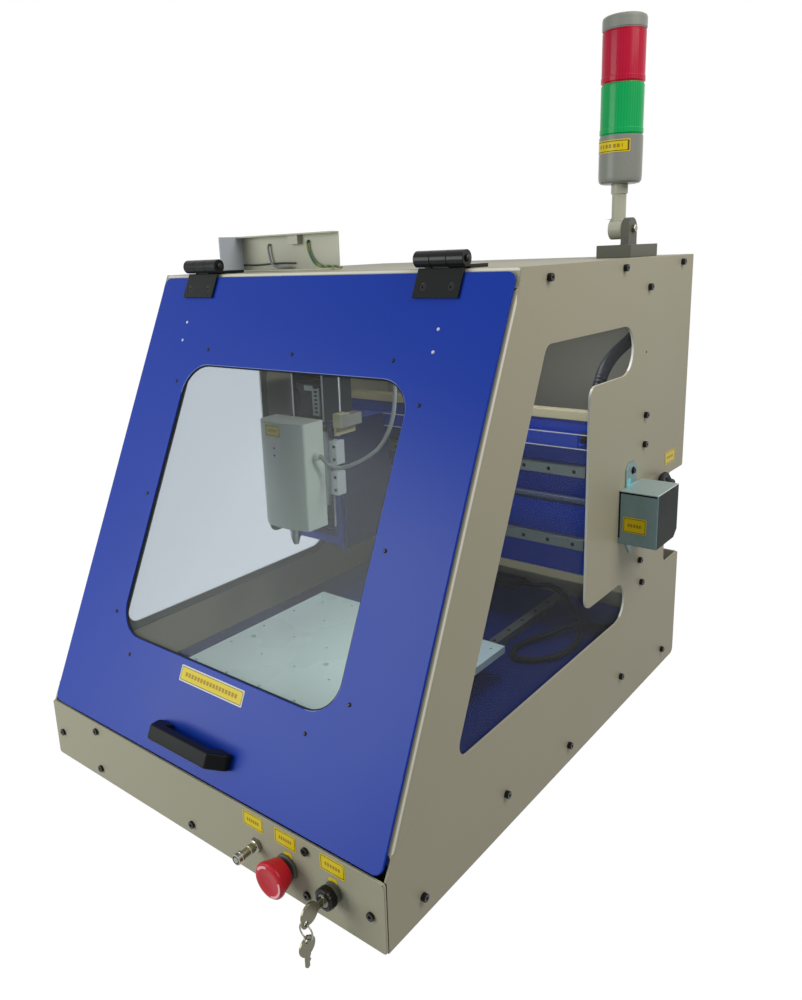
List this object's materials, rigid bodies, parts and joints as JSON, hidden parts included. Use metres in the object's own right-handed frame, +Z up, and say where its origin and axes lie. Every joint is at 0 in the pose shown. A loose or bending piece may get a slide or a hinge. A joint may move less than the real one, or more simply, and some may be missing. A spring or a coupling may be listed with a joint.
{
  "type": "circuit board prototyping machine",
  "caption": "Enclosed bench-top mill and drill for circuit boards: beige housing, sloping blue door, moving head and table, signal tower, stop button and key switch",
  "frame": {"origin": "centre of the machine footprint on the surface it stands on", "axes": "+X to the right seen from the front, +Y to the back, +Z up; the front with its door faces -Y"},
  "size_m": [0.6, 0.7725, 0.911],
  "materials": {
    "beige_paint": "satin",
    "blue_paint": "satin",
    "clear_pane": "gloss",
    "black_plastic": "matte",
    "black_steel": "satin",
    "black_rubber": "matte",
    "steel": "brushed",
    "aluminium": "satin",
    "zinc": "satin",
    "nickel": "polished",
    "grey_paint": "satin",
    "grey_plastic": "gloss",
    "green_lens": "gloss",
    "red_lens": "gloss",
    "red_plastic": "gloss",
    "yellow_label": "satin",
    "pale_board": "matte",
    "cream_plastic": "matte",
    "grey_wire": "matte"
  },
  "bodies": {
    "machine_body": {"base_plate": "beige_paint", "side_plate_left": "beige_paint", "side_plate_right": "beige_paint", "side_windows": "clear_pane", "front_strip": "beige_paint", "roof_plate": "beige_paint", "rear_panel": "beige_paint", "rubber_feet": "black_rubber", "frame_screws": "black_steel", "gantry_beams": "cream_plastic", "gantry_plate": "blue_paint", "guide_rails": "steel", "axis_motors": "black_steel", "x_motor_cover": "zinc", "bed_frame": "blue_paint", "hinge_roof_leaves": "black_plastic", "tower_foot": "black_plastic", "wiring_tray": "beige_paint", "tray_end_plate": "zinc", "tray_wires": "grey_wire", "stop_switch_body": "black_plastic", "key_switch_body": "black_plastic", "front_connector": "nickel", "panel_labels": "yellow_label", "power_inlet": "black_plastic", "black_cables": "black_rubber"},
    "door": {"door_panel": "blue_paint", "door_window": "clear_pane", "window_gasket": "black_rubber", "door_handle": "black_plastic", "hinge_door_leaves": "black_plastic", "door_screws": "black_steel", "door_label": "yellow_label"},
    "x_carriage": {"z_frame": "blue_paint", "x_blocks": "steel", "z_motor_bracket": "grey_paint", "z_motor": "black_steel", "limit_sensor": "cream_plastic", "conduit": "grey_wire"},
    "z_head": {"head_plate": "aluminium", "z_blocks": "steel", "head_cover": "beige_paint", "spindle_body": "steel"},
    "spindle": {"spindle_nose": "steel"},
    "table": {"work_table": "pale_board", "table_plate": "aluminium", "table_blocks": "steel"},
    "x_lead_screw": {"x_screw": "steel"},
    "y_lead_screw": {"y_screw": "steel"},
    "z_lead_screw": {"z_screw": "steel"},
    "stop_stem": {"stop_plunger": "grey_plastic"},
    "stop_button": {"stop_head": "red_plastic"},
    "switch_key": {"key": "nickel"},
    "hanging_key": {"key_ring": "nickel", "spare_key": "nickel"},
    "tower_mast": {"tower_pole": "grey_plastic", "tower_body": "grey_plastic", "lens_green": "green_lens", "lens_red": "red_lens", "tower_cap": "grey_plastic"}
  },
  "joints": [
    {"name": "door_hinge", "type": "hinge", "parent": "machine_body", "child": "door", "pos_m": [0, -0.119, 0.632], "axis": [-1, 0, 0], "range_deg": [0, 110]},
    {"name": "x_travel", "type": "slide", "parent": "machine_body", "child": "x_carriage", "axis": [1, 0, 0], "range_m": [0, 0.32], "deforming": ["conduit"]},
    {"name": "z_travel", "type": "slide", "parent": "x_carriage", "child": "z_head", "axis": [0, 0, -1], "range_m": [0, 0.085], "deforming": ["conduit"]},
    {"name": "spindle_spin", "type": "hinge", "parent": "z_head", "child": "spindle", "pos_m": [-0.172, -0.002, 0.258], "axis": [0, 0, 1], "continuous": true},
    {"name": "table_travel", "type": "slide", "parent": "machine_body", "child": "table", "axis": [0, 1, 0], "range_m": [-0.04, 0.25]},
    {"name": "x_screw_turn", "type": "hinge", "parent": "machine_body", "child": "x_lead_screw", "pos_m": [0, 0.167, 0.304], "axis": [1, 0, 0], "continuous": true},
    {"name": "y_screw_turn", "type": "hinge", "parent": "machine_body", "child": "y_lead_screw", "pos_m": [0, -0.06, 0.067], "axis": [0, 1, 0], "continuous": true},
    {"name": "z_screw_turn", "type": "hinge", "parent": "x_carriage", "child": "z_lead_screw", "pos_m": [-0.172, 0.072, 0.322], "axis": [0, 0, 1], "continuous": true},
    {"name": "stop_push", "type": "slide", "parent": "machine_body", "child": "stop_stem", "axis": [0, 1, 0], "range_m": [0, 0.004]},
    {"name": "stop_twist", "type": "hinge", "parent": "stop_stem", "child": "stop_button", "pos_m": [0.149, -0.375, 0.056], "axis": [0, 1, 0], "range_deg": [0, 45]},
    {"name": "key_turn", "type": "hinge", "parent": "machine_body", "child": "switch_key", "pos_m": [0.211, -0.376, 0.06], "axis": [0, -1, 0], "range_deg": [0, 90]},
    {"name": "key_ring_swing", "type": "hinge", "parent": "switch_key", "child": "hanging_key", "pos_m": [0.211, -0.3995, 0.0535], "axis": [1, 0, 0], "range_deg": [-40, 40]},
    {"name": "tower_fold", "type": "hinge", "parent": "machine_body", "child": "tower_mast", "pos_m": [0.212, 0.244, 0.658], "axis": [1, 0, 0], "range_deg": [0, 90]}
  ],
  "couplings": [
    {"joint": "x_screw_turn", "follows": "x_travel", "rad_per_m": 1256.6},
    {"joint": "y_screw_turn", "follows": "table_travel", "rad_per_m": 1256.6},
    {"joint": "z_screw_turn", "follows": "z_travel", "rad_per_m": 1570.8}
  ]
}
